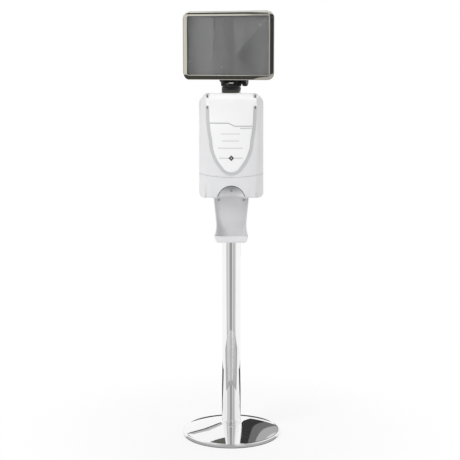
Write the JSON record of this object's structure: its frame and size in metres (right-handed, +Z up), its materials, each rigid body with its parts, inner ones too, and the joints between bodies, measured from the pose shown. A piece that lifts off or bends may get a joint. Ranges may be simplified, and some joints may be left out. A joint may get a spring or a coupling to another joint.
{
  "type": "hand sanitizer floor stand",
  "caption": "Chrome pole on a weighted dished base, carrying a touch-free hand gel dispenser with a catch tray and a tilting, swivelling snap-frame sign holder.",
  "frame": {"origin": "on the floor, at the pole's axis", "axes": "+Z up along the pole, -Y towards the dispenser's front, +X to the right seen from the front"},
  "size_m": [0.338, 0.338, 1.471],
  "materials": {
    "chrome": "polished chrome",
    "rubber": "black rubber",
    "iron": "painted cast iron",
    "zinc": "zinc plated",
    "black_plastic": "fine moulded texture",
    "black_metal": "black powder coat",
    "polished_aluminium": "polished anodised",
    "corner_chrome": "plated",
    "sign_board": "matt sheet",
    "grey_page": "plain grey printed sheet",
    "clear_sheet": "clear anti-glare sheet",
    "grey_metal": "grey powder coat",
    "white_plastic": "satin moulded",
    "grey_plastic": "satin moulded",
    "dark_window": "dark clear lens",
    "bottle_plastic": "clouded, full",
    "steel": "machined",
    "board_green": "lacquered board"
  },
  "bodies": {
    "stand": {"base_cover": "chrome", "base_foot_ring": "rubber", "base_weight": "iron", "base_washer": "zinc", "base_spring_washer": "zinc", "base_bolt": "zinc", "foot_collar": "chrome", "pole": "chrome", "pole_lower_plug": "zinc", "pole_top_cap": "black_plastic", "mount_plate": "grey_metal", "clamp_lower_front": "grey_metal", "clamp_lower_rear": "grey_metal", "clamp_upper_front": "grey_metal", "clamp_upper_rear": "grey_metal", "clamp_bolts": "zinc", "back_housing": "white_plastic", "lower_housing": "white_plastic", "cover_hinge_pin": "zinc", "housing_screws": "zinc", "nozzle_bay": "grey_plastic", "sensor_window": "dark_window", "nozzle": "grey_plastic", "refill_bottle": "bottle_plastic", "bottle_collar": "grey_plastic", "pump_cylinder": "grey_plastic", "motor": "steel", "circuit_board": "board_green", "battery_box": "grey_plastic", "catch_tray": "white_plastic"},
    "head": {"swivel_slip_ring": "black_plastic", "head_body": "black_plastic", "swivel_bolt": "zinc", "swivel_nut": "zinc", "swivel_washer": "zinc", "tilt_bolt": "zinc"},
    "knob": {"tilt_knob": "black_plastic"},
    "sign": {"sign_bracket": "black_metal", "bracket_screws": "zinc", "sign_back_panel": "sign_board", "sign_page": "grey_page", "sign_clear_cover": "clear_sheet", "rail_bottom": "polished_aluminium", "rail_top": "polished_aluminium", "rail_left": "polished_aluminium", "rail_right": "polished_aluminium", "corner_bottom_left": "corner_chrome", "corner_top_left": "corner_chrome", "corner_bottom_right": "corner_chrome", "corner_top_right": "corner_chrome"},
    "bottom_snap": {"snap_bottom": "polished_aluminium"},
    "top_snap": {"snap_top": "polished_aluminium"},
    "left_snap": {"snap_left": "polished_aluminium"},
    "right_snap": {"snap_right": "polished_aluminium"},
    "cover": {"front_cover": "white_plastic", "shield_rim": "grey_plastic", "shield_panel": "white_plastic"},
    "gear": {"drive_gear": "grey_plastic"},
    "pinion": {"motor_pinion": "steel"},
    "lift": {"pump_lift": "grey_plastic"}
  },
  "joints": [
    {"name": "head_swivel", "type": "hinge", "parent": "stand", "child": "head", "pos_m": [0, 0, 1.22], "axis": [0, 0, 1], "range_deg": [-180, 180]},
    {"name": "sign_tilt", "type": "hinge", "parent": "head", "child": "sign", "pos_m": [0, 0, 1.243], "axis": [0.9703, -0.2419, 0], "range_deg": [-30, 15]},
    {"name": "knob_turn", "type": "hinge", "parent": "head", "child": "knob", "pos_m": [0, 0, 1.243], "axis": [0.9703, -0.2419, 0], "range_deg": [-180, 180]},
    {"name": "bottom_snap_hinge", "type": "hinge", "parent": "sign", "child": "bottom_snap", "pos_m": [-0.01137, -0.0456, 1.243], "axis": [0.9703, -0.2419, 0], "range_deg": [0, 95]},
    {"name": "top_snap_hinge", "type": "hinge", "parent": "sign", "child": "top_snap", "pos_m": [-0.01137, -0.0456, 1.469], "axis": [-0.9703, 0.2419, 0], "range_deg": [0, 95]},
    {"name": "left_snap_hinge", "type": "hinge", "parent": "sign", "child": "left_snap", "pos_m": [-0.16322, -0.00774, 1.356], "axis": [0, 0, -1], "range_deg": [0, 95]},
    {"name": "right_snap_hinge", "type": "hinge", "parent": "sign", "child": "right_snap", "pos_m": [0.14048, -0.08346, 1.356], "axis": [0, 0, 1], "range_deg": [0, 95]},
    {"name": "cover_hinge", "type": "hinge", "parent": "stand", "child": "cover", "pos_m": [0, -0.075, 1.194], "axis": [-1, 0, 0], "range_deg": [0, 65]},
    {"name": "gear_turn", "type": "hinge", "parent": "stand", "child": "gear", "pos_m": [0.066, -0.114, 0.932], "axis": [0, 1, 0], "range_deg": [0, 38.2]},
    {"name": "pinion_turn", "type": "hinge", "parent": "stand", "child": "pinion", "pos_m": [0.066, -0.114, 0.956], "axis": [0, 1, 0], "range_deg": [-114.6, 0]},
    {"name": "lift_slide", "type": "slide", "parent": "stand", "child": "lift", "axis": [0, 0, 1], "range_m": [0, 0.012]}
  ],
  "couplings": [
    {"joint": "gear_turn", "follows": "lift_slide", "rad_per_m": 55.556},
    {"joint": "pinion_turn", "follows": "lift_slide", "rad_per_m": -166.67}
  ]
}
